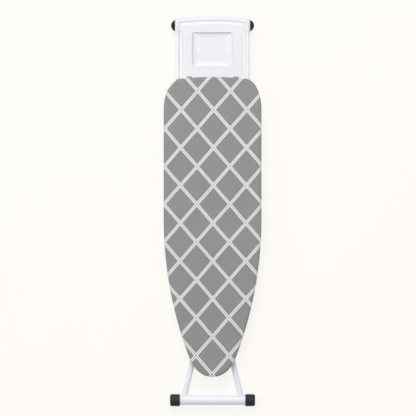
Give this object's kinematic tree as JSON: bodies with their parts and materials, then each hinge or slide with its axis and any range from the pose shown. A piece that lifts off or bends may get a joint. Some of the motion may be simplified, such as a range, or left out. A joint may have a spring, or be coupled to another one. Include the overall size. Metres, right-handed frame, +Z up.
{
  "type": "ironing board",
  "caption": "Folding ironing board with padded trellis-print cover, perforated steel deck, tray iron rest, scissor legs, height lock and rubber feet.",
  "frame": {"origin": "on the ground under the middle of the folded board's bounding box", "axes": "+Z up through the ironing surface, +Y along the board to the iron rest, +X across the board"},
  "size_m": [0.38, 1.514, 0.0752],
  "materials": {
    "white_enamel": "gloss powder coat",
    "tray_enamel": "satin powder coat",
    "zinc": "bright zinc plate",
    "deck_steel": "pale grey powder coat",
    "rubber": "matt moulded rubber",
    "black_plastic": "matt",
    "nylon": "natural nylon",
    "felt": "needled felt",
    "cover_cotton": "grey cotton with a pale trellis print",
    "hem_elastic": "gathered cotton over elastic"
  },
  "bodies": {
    "board": {"ironing_deck": "deck_steel", "deck_rim": "white_enamel", "front_cross_brace": "white_enamel", "rear_cross_brace": "white_enamel", "height_rail": "white_enamel", "hinge_brackets": "white_enamel", "hinge_pin": "zinc", "hinge_pin_caps": "black_plastic", "iron_rest_frame": "white_enamel", "iron_rest_tray": "tray_enamel", "rest_clamps": "zinc", "clamp_screws": "zinc", "felt_pad": "felt", "cover": "cover_cotton", "cover_hem": "hem_elastic", "lever_brackets": "white_enamel", "return_spring": "zinc", "storage_clips": "nylon"},
    "release_lever": {"release_rod": "zinc", "locking_comb": "zinc", "lever_arm": "zinc", "lever_grip": "black_plastic"},
    "front_leg": {"front_leg_left": "white_enamel", "front_leg_right": "white_enamel", "front_foot_bar": "white_enamel", "front_foot_caps": "rubber", "front_hinge_sleeve": "white_enamel", "pivot_bolts": "zinc", "pivot_washers": "nylon", "pivot_nuts": "zinc"},
    "rear_leg": {"rear_leg_left": "white_enamel", "rear_leg_right": "white_enamel", "rear_foot_bar": "white_enamel", "rear_foot_caps": "rubber", "slide_rod": "zinc", "slide_rod_caps": "black_plastic", "rear_leg_plugs": "black_plastic"},
    "slider": {"slide_block": "nylon"}
  },
  "joints": [
    {"name": "fold", "type": "hinge", "parent": "board", "child": "front_leg", "pos_m": [0, 0.435, 0.045], "axis": [1, 0, 0], "range_deg": [0, 46]},
    {"name": "scissor", "type": "hinge", "parent": "front_leg", "child": "rear_leg", "pos_m": [0, -0.005, 0.0235], "axis": [1, 0, 0], "range_deg": [-92, 0]},
    {"name": "slide_turn", "type": "hinge", "parent": "rear_leg", "child": "slider", "pos_m": [0, -0.445, 0.045], "axis": [1, 0, 0], "range_deg": [0, 46]},
    {"name": "release", "type": "hinge", "parent": "board", "child": "release_lever", "pos_m": [0.092, 0, 0.06], "axis": [0, -1, 0], "range_deg": [0, 8], "stiffness_Nm_per_rad": 4, "springref_deg": -5.73}
  ],
  "couplings": [
    {"joint": "scissor", "follows": "fold", "ratio": -2},
    {"joint": "slide_turn", "follows": "fold", "ratio": 1}
  ]
}
